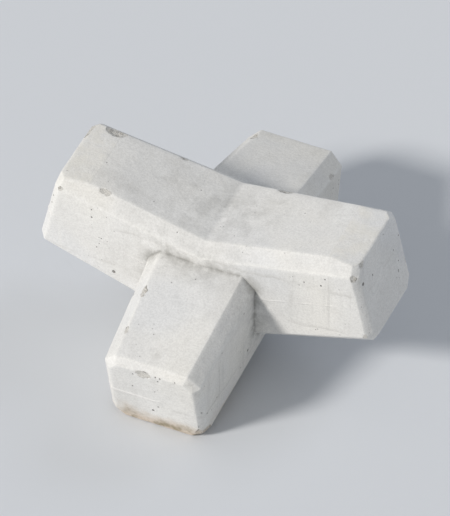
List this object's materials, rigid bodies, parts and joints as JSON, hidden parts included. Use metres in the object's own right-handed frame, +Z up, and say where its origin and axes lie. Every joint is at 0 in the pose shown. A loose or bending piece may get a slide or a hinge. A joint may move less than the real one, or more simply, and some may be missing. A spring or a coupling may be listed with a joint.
{
  "type": "square-legged concrete tetrapod armour unit",
  "caption": "Cast concrete breakwater armour unit with square chamfered legs, one pair raised and the other pair lowered across it, which lock together in a heap.",
  "frame": {"origin": "on the floor, midway between the two level feet, under the middle of the unit", "axes": "+Z up; the raised legs point along +X and -X, the lowered legs with the feet along +Y and -Y"},
  "size_m": [2.7448, 2.7448, 1.3184],
  "materials": {
    "cast_concrete": "plain cast concrete, sun-bleached, matt, with form marks and fine air holes"
  },
  "bodies": {
    "root": {"tetrapod": "cast_concrete"}
  },
  "joints": []
}
